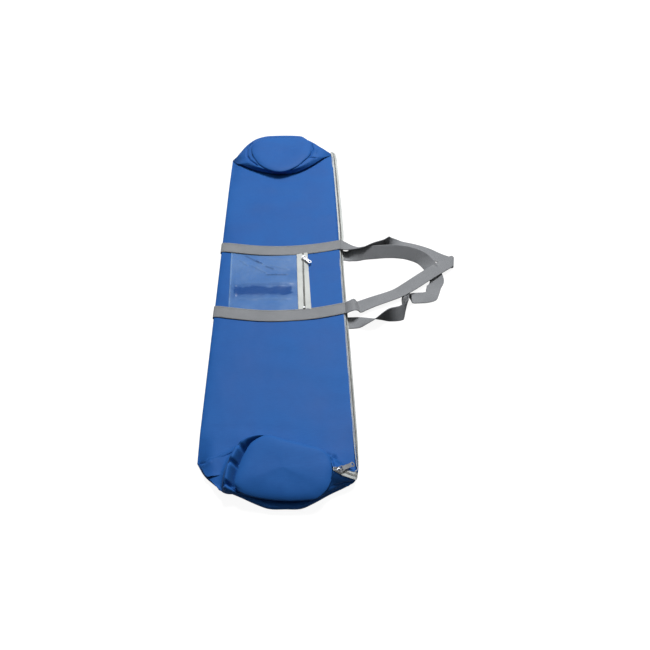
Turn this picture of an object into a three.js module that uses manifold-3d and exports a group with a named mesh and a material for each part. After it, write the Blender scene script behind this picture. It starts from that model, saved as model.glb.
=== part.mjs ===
// Carry bag for a rolled spine board, lying empty and flat.
// Millimetres, +Z up. The zip edge is +X, and +Y runs along the bag away from the zip slider.
// The origin is on the floor, under the bag, midway between the two webbing bands.

import * as THREE from 'three';
import { mergeVertices } from 'three/addons/utils/BufferGeometryUtils.js';
import Module from 'manifold-3d';

const wasm = await Module();
wasm.setup();

// ---------------------------------------------------------------- driving dimensions

const TUBE_DIAMETER = 181;
const HALF_WIDTH = Math.PI * TUBE_DIAMETER / 4;      // a tube pressed flat is half its girth wide
const THICKNESS = 16;                                // upper and lower layer with the slack between
const WALL = 1.6;                                    // lined polyester
const GAP = 0.3;                                     // clearance between touching pieces
const STRAP_WIDTH = 32;
const STRAP = 1.6;                                   // webbing thickness
const STRAP_LIFT = STRAP + GAP;                      // the underside rises over the lower bands
const MID_HEIGHT = THICKNESS / 2;

const FAR_TIP = 569;                                 // ends of the folded bag along Y
const NEAR_TIP = -548;
const FAR_ZONE = 350;                                // beyond these the outline starts to round
const NEAR_ZONE = -400;
const FOLD_EDGE = 0.3;                               // share of the thickness left at the left fold
const ZIP_EDGE = 0.9;                                // and at the zip side

const ZIP_HALF = 5.5;                                // half width of the zip that shows
const COIL_HALF = 1.5;
const TAPE = 1.0;
const COIL_HEIGHT = 2.2;

const LEFT_EDGE = -HALF_WIDTH;
const RIGHT_EDGE = HALF_WIDTH;

// Each folded end: the round disc on top of its mound, and the skirts that slope down from it.
const nearEnd = { x: 14, y: -487, a: 81, b: 52, height: 50, crown: 5, left: 75, right: 47, inner: 22, outer: 15 };
const farEnd = { x: -2, y: 463, a: 81, b: 83, height: 34, crown: 3, left: 58, right: 62, inner: 16, outer: 24 };

// ---------------------------------------------------------------- small helpers

const clamp = (value, low, high) => Math.min(high, Math.max(low, value));
const mix = (a, b, t) => a + (b - a) * t;
const vec = (x, y, z) => new THREE.Vector3(x, y, z);

function toManifold(geometry) {
  const plain = geometry.clone();
  plain.deleteAttribute('normal');
  plain.deleteAttribute('uv');
  const merged = mergeVertices(plain, 1e-4);
  const mesh = new wasm.Mesh({
    numProp: 3,
    vertProperties: new Float32Array(merged.attributes.position.array),
    triVerts: new Uint32Array(merged.index.array),
  });
  return new wasm.Manifold(mesh);
}

function toGeometry(manifold) {
  const mesh = manifold.getMesh();
  const geometry = new THREE.BufferGeometry();
  geometry.setAttribute('position', new THREE.BufferAttribute(new Float32Array(mesh.vertProperties), 3));
  geometry.setIndex(new THREE.BufferAttribute(new Uint32Array(mesh.triVerts), 1));
  geometry.computeVertexNormals();
  return geometry;
}

function fromLists(points, faces) {
  const geometry = new THREE.BufferGeometry();
  geometry.setAttribute('position', new THREE.Float32BufferAttribute(points.flat(), 3));
  geometry.setIndex(faces.flat());
  geometry.computeVertexNormals();
  return geometry;
}

// A closed slab over a grid: place(u, v) gives x and y, top and bottom give the heights there.
function slab(us, vs, place, top, bottom) {
  const points = [];
  const faces = [];
  const columns = us.length;
  const rows = vs.length;
  for (const height of [top, bottom]) {
    for (const v of vs) {
      for (const u of us) {
        const [x, y] = place(u, v);
        points.push([x, y, height(x, y)]);
      }
    }
  }
  const upper = (i, j) => j * columns + i;
  const lower = (i, j) => rows * columns + j * columns + i;
  for (let j = 0; j + 1 < rows; j += 1) {
    for (let i = 0; i + 1 < columns; i += 1) {
      faces.push([upper(i, j), upper(i + 1, j), upper(i + 1, j + 1)]);
      faces.push([upper(i, j), upper(i + 1, j + 1), upper(i, j + 1)]);
      faces.push([lower(i, j), lower(i + 1, j + 1), lower(i + 1, j)]);
      faces.push([lower(i, j), lower(i, j + 1), lower(i + 1, j + 1)]);
    }
  }
  const wall = (a, b, c, d) => faces.push([a, b, c], [a, c, d]);
  for (let i = 0; i + 1 < columns; i += 1) {
    wall(lower(i, 0), lower(i + 1, 0), upper(i + 1, 0), upper(i, 0));
    wall(upper(i, rows - 1), upper(i + 1, rows - 1), lower(i + 1, rows - 1), lower(i, rows - 1));
  }
  for (let j = 0; j + 1 < rows; j += 1) {
    wall(upper(0, j), upper(0, j + 1), lower(0, j + 1), lower(0, j));
    wall(lower(columns - 1, j), lower(columns - 1, j + 1), upper(columns - 1, j + 1), upper(columns - 1, j));
  }
  return fromLists(points, faces);
}

// A band of rectangular section. Each station has its centre p, the direction w across the
// band and the face normal n. The section runs low..high along w and under..over along n.
function sweep(stations, low, high, under, over) {
  const points = [];
  const faces = [];
  for (const { p, w, n } of stations) {
    for (const [across, along] of [[low, under], [high, under], [high, over], [low, over]]) {
      const corner = p.clone().addScaledVector(w, across).addScaledVector(n, along);
      points.push(corner.toArray());
    }
  }
  const last = (stations.length - 1) * 4;
  for (let here = 0; here < last; here += 4) {
    for (let k = 0; k < 4; k += 1) {
      const m = (k + 1) % 4;
      const next = here + 4;
      faces.push([here + k, next + k, next + m], [here + k, next + m, here + m]);
    }
  }
  faces.push([0, 1, 2], [0, 2, 3]);
  faces.push([last, last + 2, last + 1], [last, last + 3, last + 2]);
  return fromLists(points, faces);
}

function tangentAt(points, i) {
  const before = points[Math.max(0, i - 1)];
  const after = points[Math.min(points.length - 1, i + 1)];
  return after.clone().sub(before).normalize();
}

// ---------------------------------------------------------------- the shape of the folded bag

// How full the section is at x: 1 over most of the width, less towards the edges.
function fullness(x) {
  const u = clamp(Math.abs(x) / HALF_WIDTH, 0, 1);
  const edge = x < 0 ? FOLD_EDGE : ZIP_EDGE;
  return edge + (1 - edge) * Math.sqrt(1 - u ** 8);
}

// Share of an end's mound height at a point: 1 on the disc, falling along the skirts to 0.
function moundShare(end, x, y) {
  const dx = x - end.x;
  const dy = y - end.y;
  const distance = Math.hypot(dx, dy);
  if (distance < 1e-6) return 1;
  const c = dx / distance;
  const s = dy / distance;
  const rim = 1 / Math.hypot(c / end.a, s / end.b);
  const towardsMiddle = Math.sign(end.y) * s < 0;
  const sideways = c < 0 ? end.left : end.right;
  const skirt = sideways * c * c + (towardsMiddle ? end.inner : end.outer) * s * s;
  return clamp(1 - (distance - rim) / skirt, 0, 1);
}

function moundHeight(end, x, y) {
  const dx = (x - end.x) / end.a;
  const dy = (y - end.y) / end.b;
  const dome = end.crown * Math.max(0, 1 - dx * dx - dy * dy);
  return (end.height - THICKNESS) * moundShare(end, x, y) + dome;
}

function topHeight(x, y) {
  const base = MID_HEIGHT + MID_HEIGHT * fullness(x);
  return base + moundHeight(nearEnd, x, y) + moundHeight(farEnd, x, y);
}

// The underside is flat on the floor, and rises a little over the two lower bands.
const lowerBands = [{ y: 98, half: 35 }, { y: -112, half: 37 }];
const LIFT_RAMP = 25;

function bottomHeight(x, y) {
  let lift = 0;
  for (const band of lowerBands) {
    const outside = Math.abs(y - band.y) - band.half;
    lift = Math.max(lift, STRAP_LIFT * clamp(1 - outside / LIFT_RAMP, 0, 1));
  }
  return MID_HEIGHT - (MID_HEIGHT - lift) * fullness(x);
}

// The outline rounds from each corner of the flat tube to the tip where the disc is folded over.
function farOutline(x) {
  const t = Math.abs(x / HALF_WIDTH);
  return FAR_TIP - (x < 0 ? 85 : 61) * t ** 3;
}

function nearOutline(x) {
  const t = (x - 15) / (x < 15 ? HALF_WIDTH + 15 : HALF_WIDTH - 15);
  return NEAR_TIP + (x < 15 ? 94 : 54) * Math.abs(t) ** 2.2;
}

// v runs along the bag in mm; past the two zones it is stretched to reach the outline.
function placeOnBag(inset) {
  return (u, v) => {
    const x = u * (HALF_WIDTH - inset);
    if (v > FAR_ZONE) {
      const t = (v - FAR_ZONE) / (FAR_TIP - FAR_ZONE);
      return [x, mix(FAR_ZONE, farOutline(x) - inset, t)];
    }
    if (v < NEAR_ZONE) {
      const t = (v - NEAR_ZONE) / (NEAR_TIP - NEAR_ZONE);
      return [x, mix(NEAR_ZONE, nearOutline(x) + inset, t)];
    }
    return [x, v];
  };
}

const acrossStations = [-1, -0.985, -0.95, -0.9, -0.8, -0.65, -0.5, -0.3, -0.1, 0.1,
  0.3, 0.5, 0.6, 0.7, 0.8, 0.9, 0.97, 1];
const alongStations = [
  NEAR_TIP, -545, -540, -532, -520, -500, -480, -462, -446, -436, -427, -418, -410, NEAR_ZONE,
  -300, -174, -149, -75, -74.9, -50, 38, 63, 133, 158, 250, FAR_ZONE,
  366, 374, 382, 392, 410, 440, 470, 500, 525, 545, 555, 563, FAR_TIP];

// ---------------------------------------------------------------- main zip path

// The zip runs down the right side, turns up round the near corner and ends at the near disc.
const zipHeight = MID_HEIGHT;
const endStretchTop = vec(98.5, -493, 47.2);
const endStretchFoot = vec(134, -494, 21.5);
const endStretch = endStretchFoot.clone().sub(endStretchTop).normalize();

function zipStations() {
  const slope = vec(-endStretch.z, 0, endStretch.x).normalize();
  const raw = [
    [vec(RIGHT_EDGE, 498, zipHeight), vec(1, 0, 0)],
    [vec(RIGHT_EDGE, -470, zipHeight), vec(1, 0, 0)],
    [vec(RIGHT_EDGE - 0.6, -480, zipHeight + 1.5), vec(0.96, -0.05, 0.25)],
    [vec(RIGHT_EDGE - 2.8, -488.5, zipHeight + 5.5), vec(0.82, -0.1, 0.55)],
    [endStretchFoot.clone(), slope],
    [endStretchTop.clone(), slope],
  ];
  const points = raw.map(([p]) => p);
  return raw.map(([p, hint], i) => {
    let t = tangentAt(points, i);
    if (i === raw.length - 2) t = endStretch.clone().negate();
    const w = t.clone().cross(hint).normalize();
    return { p, w, n: w.clone().cross(t).normalize() };
  });
}

// ---------------------------------------------------------------- materials

const colours = {
  fabric: { color: 0x1f4ea6, roughness: 0.8 },
  webbing: { color: 0x8b8f94, roughness: 0.85 },
  tape: { color: 0xb9bdbc, roughness: 0.85 },
  coil: { color: 0xa9adac, roughness: 0.5 },
  metal: { color: 0xc9ccd0, roughness: 0.3, metalness: 1 },
  clear: { color: 0xa9c3e6, roughness: 0.15, transparent: true, opacity: 0.45 },
  binding: { color: 0x1a3f8c, roughness: 0.85 },
};

const group = new THREE.Group();

function add(name, geometry, finish, parent = group) {
  const mesh = new THREE.Mesh(geometry, new THREE.MeshStandardMaterial(colours[finish]));
  mesh.name = name;
  parent.add(mesh);
  return mesh;
}

// ---------------------------------------------------------------- bag body

function ellipsePrism(end, from, to) {
  const shape = new THREE.Shape();
  shape.absellipse(0, 0, end.a, end.b, 0, Math.PI * 2);
  const prism = new THREE.ExtrudeGeometry(shape, { depth: to - from, bevelEnabled: false, curveSegments: 20 });
  prism.translate(end.x, end.y, from);
  return prism;
}

// Vertical thickness that leaves the wall its true thickness on a slope.
function wallDrop(x, y) {
  const d = 2;
  const slopeX = (topHeight(x + d, y) - topHeight(x - d, y)) / (2 * d);
  const slopeY = (topHeight(x, y + d) - topHeight(x, y - d)) / (2 * d);
  return WALL * Math.min(2.6, Math.hypot(1, slopeX, slopeY));
}

const WALL_DEPTH = 2.4;                              // walls at the left fold and the two tips
const TALL = 90;

function block(low, high) {
  const size = high.map((value, i) => value - low[i]);
  const box = new THREE.BoxGeometry(...size);
  box.translate(...low.map((value, i) => value + size[i] / 2));
  return toManifold(box);
}

function bagShell() {
  const outer = toManifold(slab(acrossStations, alongStations, placeOnBag(0), topHeight, bottomHeight));
  const floor = (x, y) => bottomHeight(x, y) + WALL;
  const ceiling = (x, y) => Math.max(topHeight(x, y) - wallDrop(x, y), floor(x, y) + 1);
  const hollow = toManifold(slab(acrossStations, alongStations, placeOnBag(WALL_DEPTH), ceiling, floor));
  const slot = toManifold(sweep(zipStations(), -ZIP_HALF - GAP, ZIP_HALF + GAP, -8, 5));
  const reach = [THICKNESS + 4, TALL];
  return outer
    .subtract(hollow)
    .subtract(slot)
    .subtract(toManifold(ellipsePrism(nearEnd, ...reach)))
    .subtract(toManifold(ellipsePrism(farEnd, ...reach)));
}

// Everything inside the walls of the left fold and the tips; the zip side has no wall.
const WALL_START = { near: -440, far: 470 };
const ZIP_SIDE = { near: -482, far: 470 };

function insideWalls(inset) {
  const extra = inset - WALL_DEPTH;
  const core = slab(acrossStations, alongStations, placeOnBag(inset), () => TALL, () => -TALL);
  const zipSide = block([100, ZIP_SIDE.near + extra, -TALL], [200, ZIP_SIDE.far - extra, TALL]);
  return toManifold(core).add(zipSide);
}

// The tube of cloth in its areas: lower and upper panel, the folded ends, and the walls.
function bagPanels() {
  const shell = bagShell();
  const skins = shell.intersect(insideWalls(WALL_DEPTH + GAP));
  const walls = shell.subtract(insideWalls(WALL_DEPTH));
  const half = GAP / 2;
  const between = (near, far, low, high) => block([-200, near + half, low + half], [200, far - half, high - half]);
  const above = (near, far) => skins.intersect(between(near, far, MID_HEIGHT, TALL));
  const wall = (near, far) => walls.intersect(between(near, far, -TALL, TALL));
  const far = 2 * FAR_TIP;
  const near = 2 * NEAR_TIP;
  return {
    lower_panel: skins.intersect(between(near, far, -TALL, MID_HEIGHT)),
    upper_panel: above(NEAR_ZONE, FAR_ZONE),
    near_end_fold: above(near, NEAR_ZONE),
    far_end_fold: above(FAR_ZONE, far),
    left_fold: wall(WALL_START.near, WALL_START.far),
    near_end_wall: wall(near, WALL_START.near),
    far_end_wall: wall(WALL_START.far, far),
  };
}

// A disc lies in the hole of its mound; radial rings follow the same height as the body.
function discPlace(end, shrink) {
  return (turn, share) => [
    end.x + (end.a - shrink) * share * Math.cos(turn),
    end.y + (end.b - shrink) * share * Math.sin(turn),
  ];
}

// A round slab between two shares of the radius; from 0 it is a full disc.
function roundSlab(place, rings, sectors, top, bottom) {
  const points = [];
  const faces = [];
  const solidCentre = rings[0] === 0;
  const shares = solidCentre ? rings.slice(1) : rings;
  const layer = [];
  for (const height of [top, bottom]) {
    const start = points.length;
    layer.push(start);
    if (solidCentre) {
      const [x, y] = place(0, 0);
      points.push([x, y, height(x, y)]);
    }
    for (const share of shares) {
      for (let k = 0; k < sectors; k += 1) {
        const [x, y] = place(k / sectors * Math.PI * 2, share);
        points.push([x, y, height(x, y)]);
      }
    }
  }
  const skip = solidCentre ? 1 : 0;
  const at = (side, ring, k) => layer[side] + skip + ring * sectors + k % sectors;
  for (let k = 0; k < sectors; k += 1) {
    if (solidCentre) {
      faces.push([layer[0], at(0, 0, k), at(0, 0, k + 1)]);
      faces.push([layer[1], at(1, 0, k + 1), at(1, 0, k)]);
    } else {
      faces.push([at(1, 0, k), at(0, 0, k), at(0, 0, k + 1)]);
      faces.push([at(1, 0, k), at(0, 0, k + 1), at(1, 0, k + 1)]);
    }
    for (let r = 0; r + 1 < shares.length; r += 1) {
      faces.push([at(0, r, k), at(0, r + 1, k), at(0, r + 1, k + 1)]);
      faces.push([at(0, r, k), at(0, r + 1, k + 1), at(0, r, k + 1)]);
      faces.push([at(1, r, k), at(1, r + 1, k + 1), at(1, r + 1, k)]);
      faces.push([at(1, r, k), at(1, r, k + 1), at(1, r + 1, k + 1)]);
    }
    const last = shares.length - 1;
    faces.push([at(0, last, k), at(1, last, k), at(1, last, k + 1)]);
    faces.push([at(0, last, k), at(1, last, k + 1), at(0, last, k + 1)]);
  }
  return fromLists(points, faces);
}

function endDisc(end) {
  const place = discPlace(end, GAP + 0.1);
  const bottom = (x, y) => topHeight(x, y) - WALL;
  return roundSlab(place, [0, 0.35, 0.65, 0.85, 1], 32, topHeight, bottom);
}

// The tape that binds the seam inside the bag, just under the rim of the disc.
function seamBinding(end) {
  const below = WALL + 0.8;
  const top = (x, y) => topHeight(x, y) - below;
  const bottom = (x, y) => topHeight(x, y) - below - 1.2;
  return roundSlab(discPlace(end, 0), [0.82, 0.94], 32, top, bottom);
}

// ---------------------------------------------------------------- webbing bands

// Both upper bands bow towards the near end in the middle of the bag.
const BOW = 20;
const upperBands = { far: 110, near: -97 };

function bandY(name, x) {
  const u = x / HALF_WIDTH;
  return upperBands[name] - BOW * (1 - u * u);
}

// Below, the bands run at a slight slant from the left fold to the zip side.
const lowerEnds = { far: 88, near: -128 };

function bandUnderY(name, x) {
  const t = (x - LEFT_EDGE) / (RIGHT_EDGE - LEFT_EDGE);
  return mix(upperBands[name], lowerEnds[name], t);
}

const BAND_LIFT = 1.3;                               // centre of the webbing above the fabric
const HANDLE_LINE = RIGHT_EDGE + 5;                  // where bands end and handles begin

// One band goes over the top, round the left fold and back along the floor.
function bandStations(name) {
  const overTop = acrossStations.slice().reverse().map((u) => {
    const x = u * HALF_WIDTH;
    return [vec(x, bandY(name, x), topHeight(x, 0) + BAND_LIFT), vec(0, 0, 1)];
  });
  overTop.pop();
  const y = upperBands[name];
  const endTop = vec(HANDLE_LINE - GAP, y, topHeight(RIGHT_EDGE, 0) + BAND_LIFT);
  const fold = [
    [vec(LEFT_EDGE - 1.1, y, MID_HEIGHT + 3.3), vec(-0.5, 0, 0.85)],
    [vec(LEFT_EDGE - 2.1, y, MID_HEIGHT), vec(-1, 0, 0)],
    [vec(LEFT_EDGE - 1.1, y, MID_HEIGHT - 3.3), vec(-0.5, 0, -0.85)],
  ];
  const under = acrossStations.slice(1).map((u) => {
    const x = u * HALF_WIDTH;
    const z = Math.max(STRAP / 2, bottomHeight(x, lowerBands[name === 'far' ? 0 : 1].y) - BAND_LIFT);
    return [vec(x, bandUnderY(name, x), z), vec(0, 0, -1)];
  });
  const endUnder = vec(HANDLE_LINE - GAP, lowerEnds[name], STRAP / 2);
  const all = [[endTop, vec(0, 0, 1)], ...overTop, ...fold, ...under, [endUnder, vec(0, 0, -1)]];
  return all.map(([p, n]) => ({ p, w: vec(0, 1, 0), n: n.normalize() }));
}

function band(name) {
  return sweep(bandStations(name), -STRAP_WIDTH / 2, STRAP_WIDTH / 2, -STRAP / 2, STRAP / 2);
}

// ---------------------------------------------------------------- carry handles

// Stations of a handle: centre, then the direction across the webbing. The first and last
// meet the bands at the zip side. The front handle lies over the back one where they cross.
const bandTop = topHeight(RIGHT_EDGE, 0) + BAND_LIFT;

const frontRoute = [
  [HANDLE_LINE, 110, bandTop, 0, 1, 0],
  [160, 108, 17, 0, 1, -0.1],
  [176, 105, 16, 0.05, 0.97, -0.3],
  [196, 107, 16.5, 0.1, 0.8, -0.6],
  [216, 114, 17.5, 0.1, 0.55, -0.85],
  [238, 122, 18, 0.05, 0.25, -1],
  [259, 124, 18, 0, 0, -1],
  [282, 116, 18.5, -0.1, -0.3, -0.95],
  [310, 103, 19.5, -0.15, -0.5, -0.8],
  [340, 85, 17.5, -0.2, -0.75, -0.55],
  [370, 66, 12.5, -0.2, -0.9, -0.28],
  [394, 52, 7.6, -0.2, -0.97, -0.05],
  [406, 48, 8.2, -0.2, -0.98, 0],
  [409.5, 46, 11.2, -0.2, -0.98, 0],
  [406, 46, 14, -0.22, -0.97, 0],
  [394, 43, 15, -0.25, -0.97, 0],
  [372, 32, 15, -0.42, -0.9, 0],
  [352, 18, 14, -0.5, -0.85, 0],
  [326, -5, 12.5, -0.5, -0.85, 0],
  [299, -26, 11, -0.48, -0.87, 0],
  [264, -48, 10, -0.38, -0.92, 0],
  [233, -68, 10, -0.32, -0.95, 0],
  [200, -83, 10.5, -0.2, -0.98, 0],
  [178, -90, 13, -0.1, -1, 0],
  [162, -94, 16, 0, -1, 0],
  [HANDLE_LINE, -97, bandTop, 0, -1, 0],
];

const floorStrap = STRAP / 2;

const backRoute = [
  [HANDLE_LINE, 88, floorStrap, 0, 1, 0],
  [160, 84, 1.2, 0, 1, 0],
  [172, 83, 3.2, 0, 1, 0.1],
  [185, 83, 8.6, 0, 0.88, 0.45],
  [200, 82, 12.4, 0, 0.72, 0.7],
  [236, 82, 12.4, 0.02, 0.74, 0.68],
  [270, 80, 10, 0.1, 0.84, 0.52],
  [297, 76, 6.6, 0.25, 0.9, 0.3],
  [317, 66, 3.2, 0.55, 0.82, 0.1],
  [333, 53, 2.2, 0.8, 0.6, 0.05],
  [344, 34, 2.2, 0.93, 0.35, 0.05],
  [350, 12, 2.2, 0.98, 0.1, 0.05],
  [348, -12, 2, 0.98, -0.2, 0.02],
  [338, -33, 1.6, 0.75, -0.65, 0],
  [320, -48, 1.4, 0.4, -0.9, 0],
  [300, -60, 1.4, 0.45, -0.9, 0],
  [280, -78, 1.4, 0.65, -0.76, 0],
  [262, -97, 1.4, 0.6, -0.8, 0],
  [243, -111, 2.4, 0.4, -0.9, 0.08],
  [224, -119, 7, 0.2, -0.9, 0.42],
  [205, -124, 10, 0.1, -0.75, 0.62],
  [188, -127, 7.8, 0, -0.88, 0.45],
  [172, -128, 3, 0, -1, 0.1],
  [160, -128, 1.1, 0, -1, 0],
  [HANDLE_LINE, -128, floorStrap, 0, -1, 0],
];

// Points on a smooth curve through a list of points, a few to each span.
const STEPS_PER_SPAN = 4;

function smoothThrough(points) {
  const spans = points.length - 1;
  const curve = new THREE.CatmullRomCurve3(points, false, 'centripetal');
  return Array.from({ length: spans * STEPS_PER_SPAN + 1 }, (_, i) => (
    curve.getPoint(i / (spans * STEPS_PER_SPAN))));
}

// No edge of the webbing may dip below the floor, so a tilted station is lifted onto it.
function handle(route) {
  const points = smoothThrough(route.map(([x, y, z]) => vec(x, y, z)));
  const across = smoothThrough(route.map(([, , , wx, wy, wz]) => vec(wx, wy, wz).normalize()));
  const stations = points.map((p, i) => {
    const t = i === 0 ? vec(1, 0, 0) : tangentAt(points, i);
    if (i === points.length - 1) t.set(-1, 0, 0);
    const w = across[i];
    w.addScaledVector(t, -w.dot(t)).normalize();
    const n = w.clone().cross(t);
    const halfHeight = (STRAP_WIDTH * Math.abs(w.z) + STRAP * Math.abs(n.z)) / 2;
    p.z = Math.max(p.z, halfHeight);
    return { p, w, n };
  });
  return sweep(stations, -STRAP_WIDTH / 2, STRAP_WIDTH / 2, -STRAP / 2, STRAP / 2);
}

// ---------------------------------------------------------------- pocket between the bands

const POCKET_LEFT = -112;
const WINDOW_RIGHT = 38;
const POCKET_ZIP_X = 53;
const POCKET_TAPE_HALF = 14.5;
const SHEET = 0.8;

// The pocket fills the space between the two upper bands.
function pocketStrip(x0, x1, low, high, columns = 3) {
  const place = (x, v) => {
    const far = bandY('far', x) - STRAP_WIDTH / 2 - GAP;
    const near = bandY('near', x) + STRAP_WIDTH / 2 + GAP;
    return [x, mix(near, far, v)];
  };
  const xs = acrossStations.map((u) => u * HALF_WIDTH).filter((x) => x > x0 + 1 && x < x1 - 1);
  const stations = columns > 1 ? [x0, ...xs, x1] : [x0, x1];
  const top = (x) => topHeight(x, 0) + high;
  const bottom = (x) => topHeight(x, 0) + low;
  return slab(stations, [0, 0.5, 1], place, top, bottom);
}

// ---------------------------------------------------------------- zip sliders and pulls

// Local frame: +X along the zip towards the open end, +Y across, +Z out of the zip.
const SLIDER_BASE = 1.5;
const SLIDER_PLATE = 1.8;
const PIVOT_HEIGHT = SLIDER_BASE + SLIDER_PLATE + 1.2;
const ARCH_HALF_LENGTH = 4;
const ARCH_LEG = 1.4;
const ARCH_HALF_WIDTH = 1;
const RING_HALF = 5;
const RING_BAR = 1.2;

function sliderGeometry() {
  const outline = new THREE.Shape();
  outline.moveTo(-6, -3.2);
  outline.lineTo(3, -4.6);
  outline.quadraticCurveTo(6.4, -4.2, 6.4, 0);
  outline.quadraticCurveTo(6.4, 4.2, 3, 4.6);
  outline.lineTo(-6, 3.2);
  outline.closePath();
  const plate = new THREE.ExtrudeGeometry(outline, { depth: SLIDER_PLATE, bevelEnabled: false, curveSegments: 5 });
  plate.translate(0, 0, SLIDER_BASE);
  const base = SLIDER_BASE + SLIDER_PLATE - 0.2;
  const crown = PIVOT_HEIGHT + 2.5;
  const side = new THREE.Shape();
  side.moveTo(-ARCH_HALF_LENGTH, base);
  side.lineTo(-ARCH_HALF_LENGTH, crown - 1.4);
  side.quadraticCurveTo(-ARCH_HALF_LENGTH, crown, -ARCH_HALF_LENGTH + 1.6, crown);
  side.lineTo(ARCH_HALF_LENGTH - 1.6, crown);
  side.quadraticCurveTo(ARCH_HALF_LENGTH, crown, ARCH_HALF_LENGTH, crown - 1.4);
  side.lineTo(ARCH_HALF_LENGTH, base);
  side.lineTo(ARCH_HALF_LENGTH - ARCH_LEG, base);
  side.lineTo(ARCH_HALF_LENGTH - ARCH_LEG, crown - 1.4);
  side.lineTo(-ARCH_HALF_LENGTH + ARCH_LEG, crown - 1.4);
  side.lineTo(-ARCH_HALF_LENGTH + ARCH_LEG, base);
  side.closePath();
  const arch = new THREE.ExtrudeGeometry(side, {
    depth: 2 * ARCH_HALF_WIDTH, bevelEnabled: false, curveSegments: 4,
  });
  arch.translate(0, 0, -ARCH_HALF_WIDTH);
  arch.rotateX(Math.PI / 2);
  return toGeometry(toManifold(plate).add(toManifold(arch)));
}

// The tab hangs on its ring bar, which passes under the arch of the slider.
function pullGeometry(length) {
  const outline = new THREE.Shape();
  const start = -RING_BAR / 2;
  const neck = 3.6;
  outline.moveTo(start, -RING_HALF);
  outline.lineTo(7.5, -RING_HALF);
  outline.lineTo(10.5, -neck);
  outline.lineTo(length - 8, -neck);
  outline.quadraticCurveTo(length - 6, -4.6, length - 4.6, -4.6);
  outline.absarc(length - 4.6, 0, 4.6, -Math.PI / 2, Math.PI / 2, false);
  outline.quadraticCurveTo(length - 6, 4.6, length - 8, neck);
  outline.lineTo(10.5, neck);
  outline.lineTo(7.5, RING_HALF);
  outline.lineTo(start, RING_HALF);
  outline.closePath();
  const ringHole = new THREE.Path();
  const inner = RING_HALF - RING_BAR;
  ringHole.moveTo(RING_BAR / 2, -inner);
  ringHole.lineTo(RING_BAR / 2, inner);
  ringHole.lineTo(6.9, inner);
  ringHole.lineTo(6.9, -inner);
  ringHole.closePath();
  const roundHole = new THREE.Path();
  roundHole.absarc(length - 4.6, 0, 2.5, 0, Math.PI * 2, true);
  outline.holes.push(ringHole, roundHole);
  const tab = new THREE.ExtrudeGeometry(outline, { depth: RING_BAR, bevelEnabled: false, curveSegments: 8 });
  tab.translate(0, 0, -RING_BAR / 2);
  return tab;
}

// A frame whose local axes are the zip's direction, the direction across it and its normal.
function frameAt(position, along, normal) {
  const across = normal.clone().cross(along).normalize();
  const frame = new THREE.Group();
  const axes = new THREE.Matrix4().makeBasis(along, across, normal.clone().normalize());
  frame.quaternion.setFromRotationMatrix(axes);
  frame.position.copy(position);
  group.add(frame);
  return frame;
}

function addSlider(prefix, frame, pullLength, yaw) {
  add(`${prefix}_slider`, sliderGeometry(), 'metal', frame);
  const pull = add(`${prefix}_pull`, pullGeometry(pullLength), 'metal', frame);
  pull.position.z = PIVOT_HEIGHT;
  pull.rotation.z = yaw;
}

// A stop is a small metal crimp on the teeth.
function addStop(name, frame, x, y, width) {
  const crimp = new THREE.BoxGeometry(2.4, width, 1.4);
  const stop = add(name, crimp, 'metal', frame);
  stop.position.set(x, y, COIL_HEIGHT / 2 + GAP + 0.7);
}

// ---------------------------------------------------------------- assembly

for (const [name, panel] of Object.entries(bagPanels())) {
  add(name, toGeometry(panel), 'fabric');
}
add('near_end_disc', endDisc(nearEnd), 'fabric');
add('far_end_disc', endDisc(farEnd), 'fabric');
add('near_seam_binding', seamBinding(nearEnd), 'binding');
add('far_seam_binding', seamBinding(farEnd), 'binding');

add('far_band', band('far'), 'webbing');
add('near_band', band('near'), 'webbing');
add('front_handle', handle(frontRoute), 'webbing');
add('back_handle', handle(backRoute), 'webbing');

const mainZip = zipStations();
const tapeInner = COIL_HALF + GAP;
add('main_zip_tape_upper', sweep(mainZip, tapeInner, ZIP_HALF, -TAPE / 2, TAPE / 2), 'tape');
add('main_zip_tape_lower', sweep(mainZip, -ZIP_HALF, -tapeInner, -TAPE / 2, TAPE / 2), 'tape');
add('main_zip_coil_upper', sweep(mainZip, GAP / 2, COIL_HALF, -COIL_HEIGHT / 2, COIL_HEIGHT / 2), 'coil');
add('main_zip_coil_lower', sweep(mainZip, -COIL_HALF, -GAP / 2, -COIL_HEIGHT / 2, COIL_HEIGHT / 2), 'coil');

const slopeNormal = vec(-endStretch.z, 0, endStretch.x).normalize();
const sliderSpot = endStretchTop.clone().addScaledVector(endStretch, 9.5);
const mainSlider = frameAt(sliderSpot, endStretch, slopeNormal);
addSlider('main_zip', mainSlider, 38, THREE.MathUtils.degToRad(32));
addStop('main_zip_top_stop_upper', mainSlider, -8.2, 1.9, 2.6);
addStop('main_zip_top_stop_lower', mainSlider, -8.2, -1.9, 2.6);
const farZipEnd = frameAt(vec(RIGHT_EDGE, 495, zipHeight), vec(0, 1, 0), vec(1, 0, 0));
addStop('main_zip_bottom_stop', farZipEnd, 0, 0, 5);

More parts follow.
